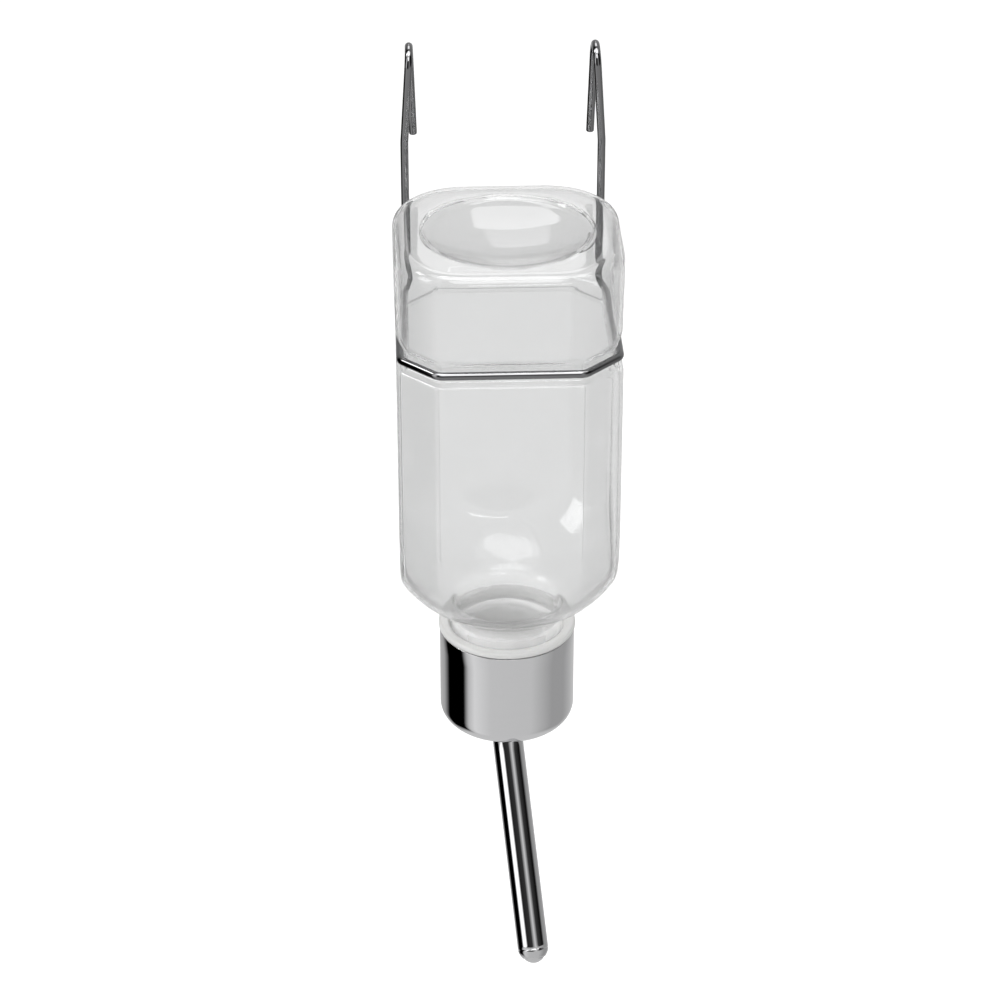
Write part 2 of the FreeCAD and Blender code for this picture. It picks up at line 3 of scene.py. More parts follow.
import bpy
import numpy as np
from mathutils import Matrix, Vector


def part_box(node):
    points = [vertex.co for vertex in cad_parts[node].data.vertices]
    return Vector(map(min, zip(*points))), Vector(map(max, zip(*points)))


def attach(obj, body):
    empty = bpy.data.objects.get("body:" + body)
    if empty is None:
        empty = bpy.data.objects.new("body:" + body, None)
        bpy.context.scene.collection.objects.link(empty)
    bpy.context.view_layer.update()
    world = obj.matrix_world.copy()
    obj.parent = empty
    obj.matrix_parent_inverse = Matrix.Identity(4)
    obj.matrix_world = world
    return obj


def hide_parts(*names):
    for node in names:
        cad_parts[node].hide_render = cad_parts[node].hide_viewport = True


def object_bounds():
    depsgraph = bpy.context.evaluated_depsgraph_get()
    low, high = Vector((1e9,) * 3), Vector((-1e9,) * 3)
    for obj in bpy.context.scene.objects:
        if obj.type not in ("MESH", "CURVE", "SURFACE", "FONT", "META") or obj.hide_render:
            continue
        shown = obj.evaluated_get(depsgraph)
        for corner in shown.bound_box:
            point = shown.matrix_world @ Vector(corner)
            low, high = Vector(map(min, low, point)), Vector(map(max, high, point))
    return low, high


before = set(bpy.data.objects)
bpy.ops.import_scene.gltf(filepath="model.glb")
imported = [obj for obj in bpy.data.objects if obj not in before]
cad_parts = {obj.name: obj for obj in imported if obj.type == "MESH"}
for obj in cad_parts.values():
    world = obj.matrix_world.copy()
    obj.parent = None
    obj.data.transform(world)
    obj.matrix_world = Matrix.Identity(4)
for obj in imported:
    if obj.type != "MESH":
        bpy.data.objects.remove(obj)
cad_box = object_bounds()

MM = 0.001
TURN = 2 * math.pi

# ---------------------------------------------------------------- sizes, millimetres
BOTTLE_HALF = 27.5
BOTTLE_CORNER = 9.5
BOTTLE_HEIGHT = 134.0
BODY_WALL = 1.0
NECK_WALL = 1.3
NECK_RADIUS = 13.0
NECK_LENGTH = 28.7
COLLAR_RADIUS = 14.6
COLLAR_LENGTH = 8.3
SHOULDER_OFFSET = 4.0
SHOULDER_MARGIN = 0.5
SHOULDER_SHARPNESS = 60.0
EDGE_SOFTNESS = 2.6
MOUTH_ROUND = 0.4
COLLAR_ROUND = 0.4
COLLAR_HOLLOW = 1.6
DOME_END = 62.0
SIDES_START = 65.0
GROOVE_CENTRE = 107.7
GROOVE_DEPTH = 2.0
GROOVE_LIP = 1.4
GROOVE_RUN = 0.4
GROOVE_BELOW = 2.2
GROOVE_ABOVE = 1.5
GROOVE_FLARE = 3.2
BULGE_HALF = 27.9
BULGE_CORNER = 18.0
BULGE_EDGE = 3.6
BULGE_CROWN = 0.25
BULGE_CROWN_REACH = 14.0
RING_MARGIN = 0.5
RECESS_RADIUS = 20.3
RECESS_STEP = 1.2
RECESS_BEVEL = 0.8
RECESS_DEPTH = 5.0
THREAD_PITCH = 3.0
THREAD_DEPTH = 1.0
THREAD_CREST = 0.8
THREAD_ROOT = 1.5
THREAD_GAP = 0.2
THREAD_RING_STEP = 0.2
NECK_THREAD_START = 12.0
NECK_THREAD_TURNS = 2.5
LINER_THREAD_TURNS = 1.5
SEAL_THICKNESS = 2.2
SEAL_ROUND = 0.2
SEAL_LIFT = 0.02
SEAL_SIDE_GAP = 0.35
SHELL_WALL = 0.5
SHELL_EDGE = 4.5
SHELL_LIP_ROUND = 0.08
LINER_GAP = 0.05
LINER_FLOOR = 3.05
LINER_FLANGE_STEP = 0.3
LINER_FLANGE_HEIGHT = 1.9
LINER_FLANGE_ROUND = 0.75
LINER_SEAM = 0.12
COLLAR_GAP = 0.4
COLLAR_ROOM = 0.6
TUBE_RADIUS = 4.0
TUBE_WALL = 0.5
TUBE_GAP = 0.05
TUBE_FLANGE_RADIUS = 6.0
TUBE_FLANGE_HEIGHT = 0.8
TUBE_FLANGE_ROUND = 0.15
TUBE_LEAD = 1.0
TUBE_BEND_RADIUS = 16.0
TUBE_BEND = math.radians(35.0)
TUBE_SWING = math.radians(9.8)
TUBE_TAIL = 52.5
BALL_RADIUS = 3.175
BALL_GAP = 0.05
BALL_LIP = 2.75
NOSE_LEAD = 0.5
NOSE_GROOVE = 0.1
WIRE_RADIUS = 1.0
WIRE_GAP = 0.05
WIRE_BEND = 3.0
WIRE_SOFT_BEND = 16.0
UPRIGHT_SPREAD = 24.4
UPRIGHT_STRAIGHT = 38.0
HOOK_SPREAD = 22.9
HOOK_RISE = 56.6
HOOK_RADIUS = 4.5
HOOK_DROP = 20.3
HOOK_TOE_IN = 0.8
HOOK_BEND = 0.98 * HOOK_RADIUS
BEND_STEP = 5.0

# ---------------------------------------------------------------- places from the frame
seal_low, seal_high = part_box("seal_washer")
shell_low, shell_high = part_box("cap_shell")
AXIS_X = (seal_low[0] + seal_high[0]) / 2 / MM
AXIS_Y = (seal_low[1] + seal_high[1]) / 2 / MM
MOUTH = seal_high[2] / MM
SHELL_BASE = shell_low[2] / MM
SHELL_RIM = shell_high[2] / MM
SHELL_RADIUS = (shell_high[0] - shell_low[0]) / 2 / MM
LINER_BASE = MOUTH - SEAL_THICKNESS - LINER_FLOOR
LINER_BORE = NECK_RADIUS + THREAD_DEPTH + THREAD_GAP


# ---------------------------------------------------------------- mesh makers
def mesh_piece(name, points, faces):
    """Smooth-shaded object from points in millimetres."""
    mesh = bpy.data.meshes.new(name)
    mesh.from_pydata([tuple(c * MM for c in p) for p in points], [], faces)
    mesh.polygons.foreach_set("use_smooth", [True] * len(mesh.polygons))
    mesh.update()
    piece = bpy.data.objects.new(name, mesh)
    bpy.context.collection.objects.link(piece)
    return piece


def skin(name, rings, closed=False):
    """Surface over rings of equally many points.

    A ring of one point is a pole. With closed, the last ring joins the first.
    """
    points = []
    starts = []
    for ring in rings:
        starts.append(len(points))
        points.extend(tuple(p) for p in ring)
    pairs = list(zip(range(len(rings) - 1), range(1, len(rings))))
    if closed:
        pairs.append((len(rings) - 1, 0))
    faces = []
    for low, high in pairs:
        count = max(len(rings[low]), len(rings[high]))
        for i in range(count):
            j = (i + 1) % count
            if len(rings[low]) == 1:
                faces.append((starts[low], starts[high] + j, starts[high] + i))
            elif len(rings[high]) == 1:
                faces.append((starts[low] + i, starts[low] + j, starts[high]))
            else:
                faces.append((starts[low] + i, starts[low] + j,
                              starts[high] + j, starts[high] + i))
    return mesh_piece(name, points, faces)


def arc(centre, radius, begin, end, steps):
    """Points (r, z) on an arc, angles in degrees."""
    return [
        (centre[0] + radius * math.cos(math.radians(a)),
         centre[1] + radius * math.sin(math.radians(a)))
        for a in np.linspace(begin, end, steps + 1)
    ]


def line(start, end, steps):
    """Points on a straight run, its end left out."""
    return [
        (start[0] + (end[0] - start[0]) * i / steps, start[1] + (end[1] - start[1]) * i / steps)
        for i in range(steps)
    ]


def curve_point(start, bend, end, share):
    """Point of a quadratic curve from start to end that leans towards bend."""
    return tuple((1 - share) ** 2 * a + 2 * share * (1 - share) * b + share ** 2 * c
                 for a, b, c in zip(start, bend, end))


def turned(name, profile, base, segments=128, relief=None):
    """Closed profile (r, z) turned about the bottle's middle line.

    relief(angle, z) is added to the radius of profile points that carry a third value.
    """
    rings = []
    for entry in profile:
        ring = []
        for i in range(segments):
            angle = TURN * i / segments
            radius = entry[0]
            if relief and len(entry) > 2:
                radius += relief(angle, entry[1])
            ring.append((AXIS_X + radius * math.cos(angle),
                         AXIS_Y + radius * math.sin(angle), base + entry[1]))
        rings.append(ring)
    return skin(name, rings[::-1], closed=True)


def thread_height(angle, z, start, turns):
    """Height of a right-hand thread ridge at an angle and a height."""
    share = (angle % TURN) / TURN
    turn = share + round((z - start) / THREAD_PITCH - share)
    if turn < 0 or turn > turns:
        return 0.0
    off = abs(z - start - THREAD_PITCH * turn)
    flank = (THREAD_ROOT - THREAD_CREST) / 2
    height = min(max((THREAD_ROOT / 2 - off) / flank, 0.0), 1.0)
    run_out = 0.12
    fade = min(turn / run_out, (turns - turn) / run_out, 1.0)
    return THREAD_DEPTH * height * fade


# ---------------------------------------------------------------- bottle
def octagon_radius(angle, half, corner, softness=EDGE_SOFTNESS):
    """Distance to the side of a square with cut corners and rounded upright edges."""
    eighth = TURN / 8
    quarter = TURN / 4
    inside = angle % quarter
    if inside > eighth:
        inside = quarter - inside
    cut = (2 * half - corner) / math.sqrt(2)
    reach = softness / math.cos(eighth / 2)
    x = half - reach * math.cos(eighth / 2)
    y = half - corner - reach * math.sin(eighth / 2)
    flat_end = math.atan2(y, half)
    cut_end = math.atan2(y + softness * math.sin(eighth), x + softness * math.cos(eighth))
    if inside <= flat_end:
        return half / math.cos(inside)
    if inside >= cut_end:
        return cut / math.cos(eighth - inside)
    along = x * math.cos(inside) + y * math.sin(inside)
    return along + math.sqrt(along ** 2 - x ** 2 - y ** 2 + softness ** 2)


def round_square_radius(angle, half, corner):
    """Distance to the side of a square with round corners."""
    x = abs(math.cos(angle))
    y = abs(math.sin(angle))
    if x < y:
        x, y = y, x
    flat = half - corner
    if y / x * half <= flat:
        return half / x
    along = flat * (x + y)
    return along + math.sqrt(max(along ** 2 - 2 * flat ** 2 + corner ** 2, 0.0))


def soft_min(first, second):
    """Smaller of two radii, with a slight rounding where they meet."""
    return (first ** -SHOULDER_SHARPNESS + second ** -SHOULDER_SHARPNESS) ** (
        -1 / SHOULDER_SHARPNESS
    )


def ease(share):
    """Smooth step from 0 to 1."""
    share = min(max(share, 0.0), 1.0)
    return share * share * (3 - 2 * share)


def bottle_angles():
    """Angles round the bottle, closer together at the eight upright edges."""
    edge = math.atan2(BOTTLE_HALF - BOTTLE_CORNER, BOTTLE_HALF)
    angles = {round(TURN * i / 120, 6) for i in range(120)}
    for quarter in range(4):
        for corner in (edge, TURN / 4 - edge):
            for step in range(-6, 7):
                spread = math.radians(step * 0.75)
                angles.add(round((quarter * TURN / 4 + corner + spread) % TURN, 6))
    return sorted(angles)


def bottle_stations(threaded):
    """Rings of the outside, from the mouth to the middle of the base: (z, radius of angle)."""
    curve = math.hypot(BOTTLE_HALF, BOTTLE_HALF - BOTTLE_CORNER) + SHOULDER_MARGIN
    curve -= SHOULDER_OFFSET
    centre = NECK_LENGTH + math.sqrt(curve ** 2 - (COLLAR_RADIUS - SHOULDER_OFFSET) ** 2)
    collar_foot = NECK_LENGTH - COLLAR_LENGTH

    def plain(radius):
        return lambda angle: radius

    def threaded_neck(z):
        if not threaded:
            return plain(NECK_RADIUS)
        return lambda angle: NECK_RADIUS + thread_height(
            angle, z, NECK_THREAD_START, NECK_THREAD_TURNS
        )

    # mouth, neck with fine rings along the thread, and the collar's rounded foot
    lip = MOUTH_ROUND
    stations = [(lip * (1 - math.cos(math.radians(a))),
                 plain(NECK_RADIUS - lip + lip * math.sin(math.radians(a))))
                for a in (0, 30, 60, 90)]
    stations += [(z, plain(NECK_RADIUS)) for z in (3.0, 6.0, 9.0, 10.8)]
    fine = np.arange(NECK_THREAD_START - 1.0, collar_foot - 0.3, THREAD_RING_STEP)
    stations += [(float(z), threaded_neck(float(z))) for z in fine]
    round_foot = (COLLAR_RADIUS - COLLAR_ROUND, collar_foot + COLLAR_ROUND)
    for r, z in arc(round_foot, COLLAR_ROUND, -90, 0, 3):
        stations.append((z, plain(r)))

    # collar, its hollow fillet, and the dome that the flat sides cut
    foot = NECK_LENGTH

    def dome(z):
        if z > centre:
            return SHOULDER_OFFSET + curve + (z - centre)
        return SHOULDER_OFFSET + math.sqrt(curve ** 2 - (centre - z) ** 2)

    def body(z):
        turned_radius = dome(z)
        return lambda angle: soft_min(
            octagon_radius(angle, BOTTLE_HALF, BOTTLE_CORNER), turned_radius
        )

    blend_high = foot + COLLAR_HOLLOW * 0.55
    stations.append((foot - COLLAR_HOLLOW, plain(COLLAR_RADIUS)))
    start = (COLLAR_RADIUS, foot - COLLAR_HOLLOW)
    bend = (COLLAR_RADIUS, foot)
    end = (dome(blend_high), blend_high)
    for share in (0.2, 0.4, 0.6, 0.8):
        r, z = curve_point(start, bend, end, share)
        stations.append((z, plain(r)))
    for z in np.linspace(blend_high, DOME_END, 64):
        stations.append((float(z), body(float(z))))

    # straight sides, the groove's lower lip, and the groove
    groove_low = GROOVE_CENTRE - GROOVE_BELOW
    groove_high = GROOVE_CENTRE + GROOVE_ABOVE
    lip_start = groove_low - GROOVE_RUN - GROOVE_LIP
    flare_end = groove_high + GROOVE_FLARE
    for z in np.linspace(SIDES_START, lip_start - 0.5, 10):
        stations.append((float(z), body(float(z))))

    def groove(depth):
        share = 1 - math.tan(TURN / 16)
        softness = EDGE_SOFTNESS - depth
        return lambda angle: octagon_radius(
            angle, BOTTLE_HALF - depth, BOTTLE_CORNER - depth * share, softness
        )

    for depth, z in arc((GROOVE_LIP, lip_start), -GROOVE_LIP, 0, -75, 11):
        stations.append((z, groove(depth)))
    for share in (0.3, 0.55, 0.8, 1.0):
        gap = GROOVE_DEPTH - depth
        stations.append((z + (groove_low - z) * share ** 2, groove(depth + gap * share)))
    stations.append((GROOVE_CENTRE, groove(GROOVE_DEPTH)))

    # flare out of the groove into the rounder end, and its edge
    def bulge(z, inset=0.0):
        crown = BULGE_CROWN * (1 - ease((z - flare_end) / BULGE_CROWN_REACH))
        half = BULGE_HALF - crown - inset
        return lambda angle: round_square_radius(angle, half, BULGE_CORNER - crown - inset)

    inner = groove(GROOVE_DEPTH)
    for share in np.linspace(0, 1, 11):
        rise = (1 - math.cos(share * math.pi / 2)) ** 0.8
        z = groove_high + (flare_end - groove_high) * rise
        mix = math.sin(share * math.pi / 2) ** 1.1
        outer = bulge(z)
        stations.append((float(z), lambda angle, m=mix, a=inner, b=outer:
                         a(angle) * (1 - m) + b(angle) * m))
    edge_foot = BOTTLE_HEIGHT - BULGE_EDGE
    for z in np.linspace(flare_end + 1.5, edge_foot - 1.0, 8):
        stations.append((float(z), bulge(float(z))))
    for a in np.linspace(0, 90, 10):
        turn = math.radians(a)
        z = edge_foot + BULGE_EDGE * math.sin(turn)
        stations.append((z, bulge(z, BULGE_EDGE * (1 - math.cos(turn)))))

    # standing ring, rim of the recess and its dish
    ring_inner = RECESS_RADIUS + RING_MARGIN
    outer = bulge(BOTTLE_HEIGHT, BULGE_EDGE)
    for share in (0.25, 0.5, 0.75, 1.0):
        stations.append((BOTTLE_HEIGHT, lambda angle, m=share, b=outer:
                         b(angle) * (1 - m) + ring_inner * m))
    dish_radius = RECESS_RADIUS - RECESS_BEVEL
    for share in (0.1, 0.25, 0.4, 0.6, 0.75, 0.9, 1.0):
        r = ring_inner + (dish_radius - 0.4 - ring_inner) * share
        stations.append((BOTTLE_HEIGHT - RECESS_STEP * ease(share), plain(r)))
    sag = RECESS_DEPTH - RECESS_STEP
    bowl = (dish_radius ** 2 + sag ** 2) / (2 * sag)
    floor = BOTTLE_HEIGHT - RECESS_DEPTH
    for share in np.linspace(0.94, 0.02, 16):
        r = dish_radius * float(share)
        stations.append((floor + bowl - math.sqrt(bowl ** 2 - r ** 2), plain(r)))
    return stations


def station_grid(stations, angles):
    """Points of all stations, as an array [station, angle, xyz] about the middle line."""
    grid = np.zeros((len(stations), len(angles), 3))
    for row, (z, radius) in enumerate(stations):
        for column, angle in enumerate(angles):
            r = radius(angle)
            grid[row, column] = (r * math.cos(angle), r * math.sin(angle), z)
    return grid


def inward(grid):
    """Unit vectors into the wall at each point of the grid."""
    around = np.roll(grid, -1, axis=1) - np.roll(grid, 1, axis=1)
    along = np.gradient(grid, axis=0)
    normal = np.cross(along, around)
    return normal / np.linalg.norm(normal, axis=2, keepdims=True)


def make_bottle():
    """Blown bottle: threaded outside, and an inside that keeps a wall's distance."""
    angles = bottle_angles()
    outer = station_grid(bottle_stations(True), angles)
    plain = station_grid(bottle_stations(False), angles)
    wall = np.where(plain[:, :, 2:3] < NECK_LENGTH, NECK_WALL, BODY_WALL)
    inner = plain + inward(plain) * wall
    inner[:3, :, 2] = outer[0, 0, 2]
    inner = inner[2:]
    where = np.array([AXIS_X, AXIS_Y, MOUTH])
    rings = [[tuple(inner[-1].mean(axis=0) + where)]]
    rings += [list(ring + where) for ring in inner[::-1]]
    rings += [list(ring + where) for ring in outer]
    rings.append([tuple(outer[-1].mean(axis=0) + where)])
    return skin("bottle_clear", rings)


# ---------------------------------------------------------------- cap, liner, washer
def make_shell():
    """Drawn cup with a round bottom edge."""
    height = SHELL_RIM - SHELL_BASE
    side = SHELL_RADIUS
    inside = side - SHELL_WALL
    hole = TUBE_RADIUS + TUBE_GAP
    centre = side - SHELL_EDGE
    lip = SHELL_LIP_ROUND
    profile = line((hole + 0.1, 0), (centre, 0), 6)
    profile += arc((centre, SHELL_EDGE), SHELL_EDGE, -90, 0, 14)
    profile += line((side, SHELL_EDGE + 1), (side, height - lip), 5)
    profile += arc((side - lip, height - lip), lip, 0, 90, 3)
    profile += arc((inside + lip, height - lip), lip, 90, 180, 3)
    profile += line((inside, height - 2 * lip), (inside, SHELL_EDGE + 1), 5)
    profile += arc((centre, SHELL_EDGE), SHELL_EDGE - SHELL_WALL, 0, -90, 8)
    profile += line((centre - 1, SHELL_WALL), (hole, SHELL_WALL), 3)
    profile += [(hole, SHELL_WALL), (hole, 0.1)]
    return turned("cap_shell_metal", profile, SHELL_BASE)


def make_liner():
    """Moulded liner: rounded rim, threaded bore, and the floor that carries the washer."""
    side = SHELL_RADIUS - SHELL_WALL - LINER_GAP
    edge = SHELL_EDGE - SHELL_WALL - LINER_GAP
    rim = SHELL_RIM - LINER_BASE
    top = rim + LINER_FLANGE_HEIGHT
    mouth = COLLAR_RADIUS + COLLAR_GAP
    seat = LINER_FLOOR + SEAL_THICKNESS + NECK_LENGTH - COLLAR_LENGTH - COLLAR_ROOM
    hole = TUBE_RADIUS + TUBE_GAP
    cup = TUBE_FLANGE_RADIUS + TUBE_GAP
    cup_floor = LINER_FLOOR - TUBE_FLANGE_HEIGHT - TUBE_GAP
    soft = LINER_FLANGE_ROUND
    outer = SHELL_RADIUS + LINER_FLANGE_STEP - soft
    start = LINER_FLOOR + SEAL_THICKNESS + NECK_THREAD_START - THREAD_PITCH / 2
    flange = rim + LINER_SEAM
    profile = line((hole, 0), (side - edge, 0), 4)
    profile += arc((side - edge, edge), edge, -90, 0, 8)
    profile += line((side, edge + 1), (side, flange), 3)
    profile += [(side, flange), (side + 0.2, flange)]
    profile += arc((outer, flange + soft), soft, -90, 0, 6)
    profile += arc((outer, top - soft), soft, 0, 90, 6)
    profile += arc((mouth + soft, top - soft), soft, 90, 180, 6)
    profile += [(mouth, seat + 0.05), (mouth - 0.1, seat), (LINER_BORE + 0.1, seat)]
    profile += [
        (LINER_BORE, float(z), True)
        for z in np.arange(seat - 0.1, LINER_FLOOR + SEAL_THICKNESS + 8.0, -THREAD_RING_STEP)
    ]
    profile += [(LINER_BORE, LINER_FLOOR + 6), (LINER_BORE, LINER_FLOOR + 0.05)]
    profile += [(LINER_BORE - 0.05, LINER_FLOOR), (cup, LINER_FLOOR), (cup, cup_floor)]
    profile += [(hole, cup_floor)]
    return turned(
        "cap_liner_white", profile, LINER_BASE,
        relief=lambda angle, z: -thread_height(angle, z, start, LINER_THREAD_TURNS),
    )


def make_seal():
    """Flat washer with slightly rounded edges, a hair above its seat."""
    outer = LINER_BORE - SEAL_SIDE_GAP
    hole = TUBE_RADIUS - TUBE_WALL
    soft = SEAL_ROUND
    seat = SEAL_LIFT
    thick = SEAL_THICKNESS
    profile = arc((outer - soft, seat + soft), soft, -90, 0, 3)
    profile += arc((outer - soft, thick - soft), soft, 0, 90, 3)
    profile += arc((hole + soft, thick - soft), soft, 90, 180, 3)
    profile += arc((hole + soft, seat + soft), soft, 180, 270, 3)
    return turned("seal_washer_rubber", profile, MOUTH - thick)


# ---------------------------------------------------------------- tube and ball
SWING = Vector((math.sin(TUBE_SWING), -math.cos(TUBE_SWING), 0))
ACROSS = Vector((math.cos(TUBE_SWING), math.sin(TUBE_SWING), 0))
DOWN = Vector((0, 0, -1))
TUBE_TOP = Vector((AXIS_X, AXIS_Y, MOUTH - SEAL_THICKNESS - TUBE_GAP))
TUBE_STRAIGHT = LINER_FLOOR + LINER_GAP + SHELL_WALL - TUBE_GAP + TUBE_LEAD
TUBE_ARC = TUBE_BEND_RADIUS * TUBE_BEND


def on_tube(distance):
    """Place on the tube's middle line and its direction there."""
    if distance <= TUBE_STRAIGHT:
        return TUBE_TOP + DOWN * distance, DOWN
    angle = min((distance - TUBE_STRAIGHT) / TUBE_BEND_RADIUS, TUBE_BEND)
    centre = TUBE_TOP + DOWN * TUBE_STRAIGHT + SWING * TUBE_BEND_RADIUS
    place = centre - SWING * (TUBE_BEND_RADIUS * math.cos(angle))
    place += DOWN * (TUBE_BEND_RADIUS * math.sin(angle))
    heading = DOWN * math.cos(angle) + SWING * math.sin(angle)
    return place + heading * max(distance - TUBE_STRAIGHT - TUBE_ARC, 0), heading


def along_tube(profile, segments=64):
    """Rings about the tube's middle line for a profile (distance, radius)."""
    rings = []
    for distance, radius in profile:
        place, heading = on_tube(distance)
        if radius == 0:
            rings.append([tuple(place)])
            continue
        side = heading.cross(ACROSS)
        rings.append([
            tuple(place + ACROSS * (radius * math.cos(TURN * i / segments))
                  + side * (radius * math.sin(TURN * i / segments)))
            for i in range(segments)
        ])
    return rings


def make_tube():
    """Flared top, one bend, and the nose rolled over the ball."""
    inside = TUBE_RADIUS - TUBE_WALL
    seat = BALL_RADIUS + BALL_GAP
    bend_end = TUBE_STRAIGHT + TUBE_ARC
    nose = bend_end + TUBE_TAIL
    ball_at = nose + NOSE_LEAD
    depth = math.sqrt(seat ** 2 - BALL_LIP ** 2)
    first = math.degrees(math.asin(depth / seat))
    flange = TUBE_FLANGE_HEIGHT
    soft = TUBE_FLANGE_ROUND
    profile = [(0, inside + 0.1), (0, TUBE_FLANGE_RADIUS - soft), (soft, TUBE_FLANGE_RADIUS),
               (flange - soft, TUBE_FLANGE_RADIUS), (flange, TUBE_FLANGE_RADIUS - soft),
               (flange, TUBE_RADIUS + 0.1), (flange + 0.1, TUBE_RADIUS)]
    profile += [(d, TUBE_RADIUS) for d in (2.0, TUBE_STRAIGHT)]
    bends = [float(d) for d in np.linspace(TUBE_STRAIGHT, bend_end, 17)[1:]]
    profile += [(d, TUBE_RADIUS) for d in bends]
    profile += [(bend_end + TUBE_TAIL * share, TUBE_RADIUS)
                for share in (0.25, 0.5, 0.75, 0.98)]
    profile += [(nose - 0.35, TUBE_RADIUS), (nose - 0.25, TUBE_RADIUS - NOSE_GROOVE),
                (nose - 0.1, TUBE_RADIUS - NOSE_GROOVE)]
    start = Vector((nose, TUBE_RADIUS - 0.02))
    bend = Vector((ball_at + 0.4, TUBE_RADIUS - 0.02))
    end = Vector((ball_at + depth, BALL_LIP + 0.18))
    for share in np.linspace(0, 1, 14):
        share = float(share)
        profile.append(tuple(start.lerp(bend, share).lerp(bend.lerp(end, share), share)))
    profile.append((ball_at + depth + 0.03, BALL_LIP + 0.08))
    for a in np.linspace(first, 0, 7):
        turn = math.radians(float(a))
        profile.append((ball_at + seat * math.sin(turn), seat * math.cos(turn)))
    profile += [(nose, inside), (bend_end + TUBE_TAIL * 0.5, inside)]
    profile += [(d, inside) for d in bends[::-2]]
    profile += [(TUBE_STRAIGHT, inside), (0.1, inside)]
    return skin("drinking_tube_steel", along_tube(profile)[::-1], closed=True)


def make_ball():
    """Ball on its seat in the nose."""
    middle = TUBE_STRAIGHT + TUBE_ARC + TUBE_TAIL + NOSE_LEAD
    steps = 28
    profile = []
    for i in range(steps + 1):
        turn = math.pi * i / steps
        radius = 0 if i in (0, steps) else BALL_RADIUS * math.sin(turn)
        profile.append((middle - BALL_RADIUS * math.cos(turn), radius))
    return skin("ball_steel", along_tube(profile, 48)[::-1])


# ---------------------------------------------------------------- wire hanger
def bent_path(points, radii):
    """Points along a line whose inner corners are rounded, about 5 degrees apart."""
    path = [points[0]]
    for before, corner, after, radius in zip(points, points[1:], points[2:], radii):
        back = (before - corner).normalized()
        onward = (after - corner).normalized()
        half_angle = back.angle(onward) / 2
        run = radius / math.tan(half_angle)
        middle_way = (back + onward).normalized()
        centre = corner + middle_way * (radius / math.sin(half_angle))
        first = corner + back * run - centre
        last = corner + onward * run - centre
        sweep = first.angle(last)
        steps = max(4, int(math.degrees(sweep) / BEND_STEP))
        start = path[-1]
        straight = (corner + back * run - start).length
        pieces = max(1, int(straight / 6))
        path += [start.lerp(corner + back * run, k / pieces) for k in range(1, pieces)]
        for k in range(steps + 1):
            share = k / steps
            arm = first * math.sin((1 - share) * sweep) + last * math.sin(share * sweep)
            path.append(centre + arm / math.sin(sweep))
    start = path[-1]
    path += [start.lerp(points[-1], k / 4) for k in range(1, 5)]
    return path


def make_hanger():
    """One wire: round the front in the groove, back along the sides, up and over."""
    offset = GROOVE_DEPTH - WIRE_RADIUS - WIRE_GAP
    side = BOTTLE_HALF - offset
    flat = BOTTLE_HALF - BOTTLE_CORNER - offset * math.tan(TURN / 16)
    low = -HOOK_RISE
    back = -HOOK_RADIUS
    tip = HOOK_SPREAD - HOOK_TOE_IN
    half = [
        Vector((flat, AXIS_Y - side, low)),
        Vector((side, AXIS_Y - flat, low)),
        Vector((side, AXIS_Y + flat, low)),
        Vector((UPRIGHT_SPREAD, back, low)),
        Vector((UPRIGHT_SPREAD, back, low + UPRIGHT_STRAIGHT)),
        Vector((HOOK_SPREAD, back, HOOK_RADIUS)),
        Vector((HOOK_SPREAD, HOOK_RADIUS, HOOK_RADIUS)),
        Vector((tip, HOOK_RADIUS, -HOOK_DROP)),
    ]
    bends = [WIRE_BEND] * 4 + [WIRE_SOFT_BEND] + [HOOK_BEND] * 2
    mirrored = [Vector((-p.x, p.y, p.z)) for p in reversed(half)]
    path = bent_path(mirrored + half, bends[::-1] + bends)
    clean = [path[0]]
    for point in path[1:]:
        if (point - clean[-1]).length > 0.05:
            clean.append(point)
    rings = []
    heading = (clean[1] - clean[0]).normalized()
    side_way = heading.orthogonal().normalized()
    segments = 24
    for k, place in enumerate(clean):
        ahead = clean[min(k + 1, len(clean) - 1)]
        behind = clean[max(k - 1, 0)]
        heading = (ahead - behind).normalized()
        side_way = (side_way - heading * side_way.dot(heading)).normalized()
        other = heading.cross(side_way)
        turns = [TURN * i / segments for i in range(segments)]

        def ring(centre, radius):
            return [tuple(centre + side_way * (radius * math.cos(t))
                          + other * (radius * math.sin(t))) for t in turns]

        round_end = [(0.0, 0.45), (0.12, 0.78), (0.3, 0.95), (0.5, 1.0)]
        if k == 0:
            rings.append([tuple(place)])
            rings += [ring(place + heading * d, WIRE_RADIUS * s) for d, s in round_end]
        elif k == len(clean) - 1:
            rings += [ring(place - heading * d, WIRE_RADIUS * s) for d, s in round_end[::-1]]
            rings.append([tuple(place)])
        else:
            rings.append(ring(place, WIRE_RADIUS))
    return skin("hanger_wire_bright", rings)


# ---------------------------------------------------------------- materials
def blank_material(name):
    """New material with its node tree and its Principled shader."""
    material = bpy.data.materials.new(name)
    material.use_nodes = True
    tree = material.node_tree
    tree.nodes.clear()
    output = tree.nodes.new("ShaderNodeOutputMaterial")
    shader = tree.nodes.new("ShaderNodeBsdfPrincipled")
    tree.links.new(shader.outputs[0], output.inputs["Surface"])
    return material, tree, shader


def calculated(tree, operation, first, second):
    """Result of a sum; each side is a number or the output of another node."""
    item = tree.nodes.new("ShaderNodeMath")
    item.operation = operation
    for socket, given in zip(item.inputs, (first, second)):
        if isinstance(given, bpy.types.NodeSocket):
            tree.links.new(given, socket)
        else:
            socket.default_value = given
    return item.outputs[0]


